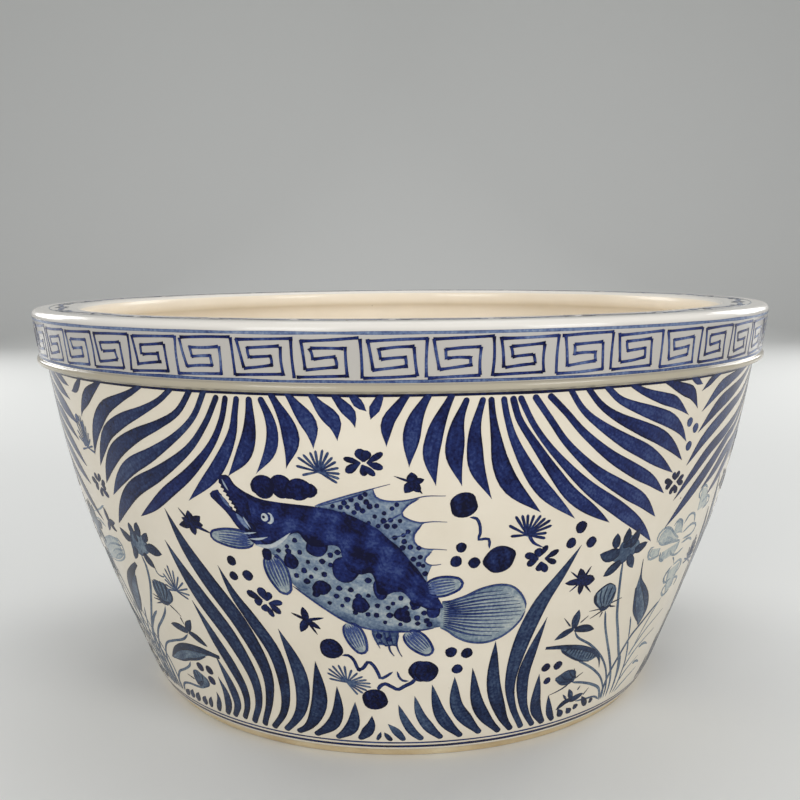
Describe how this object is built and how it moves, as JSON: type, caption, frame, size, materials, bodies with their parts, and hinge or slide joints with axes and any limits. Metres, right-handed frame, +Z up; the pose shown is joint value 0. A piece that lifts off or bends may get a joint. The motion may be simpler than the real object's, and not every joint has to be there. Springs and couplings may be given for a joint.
{
  "type": "porcelain fish bowl",
  "caption": "Wide porcelain fish bowl or planter with a swelling wall, a turned foot ring and a thick flat-topped rim collar with a rolled moulding",
  "frame": {"origin": "centre of the foot ring's underside, on the surface that the bowl stands on", "axes": "+Z up along the bowl's axis; -Y towards the viewer of the picture, so the painted fish faces -Y; +X to the viewer's right"},
  "size_m": [0.41, 0.41, 0.212],
  "materials": {
    "wall_glaze": "glossy",
    "rim_glaze": "glossy",
    "bare_clay": "matt, unglazed",
    "inside_glaze": "glossy, warm beige",
    "cobalt_blue": "cobalt painting under a glossy glaze"
  },
  "bodies": {
    "root": {"foot_ring": "bare_clay", "floor": "wall_glaze", "lower_wall": "wall_glaze", "upper_wall": "wall_glaze", "rim_collar": "rim_glaze"}
  },
  "joints": []
}
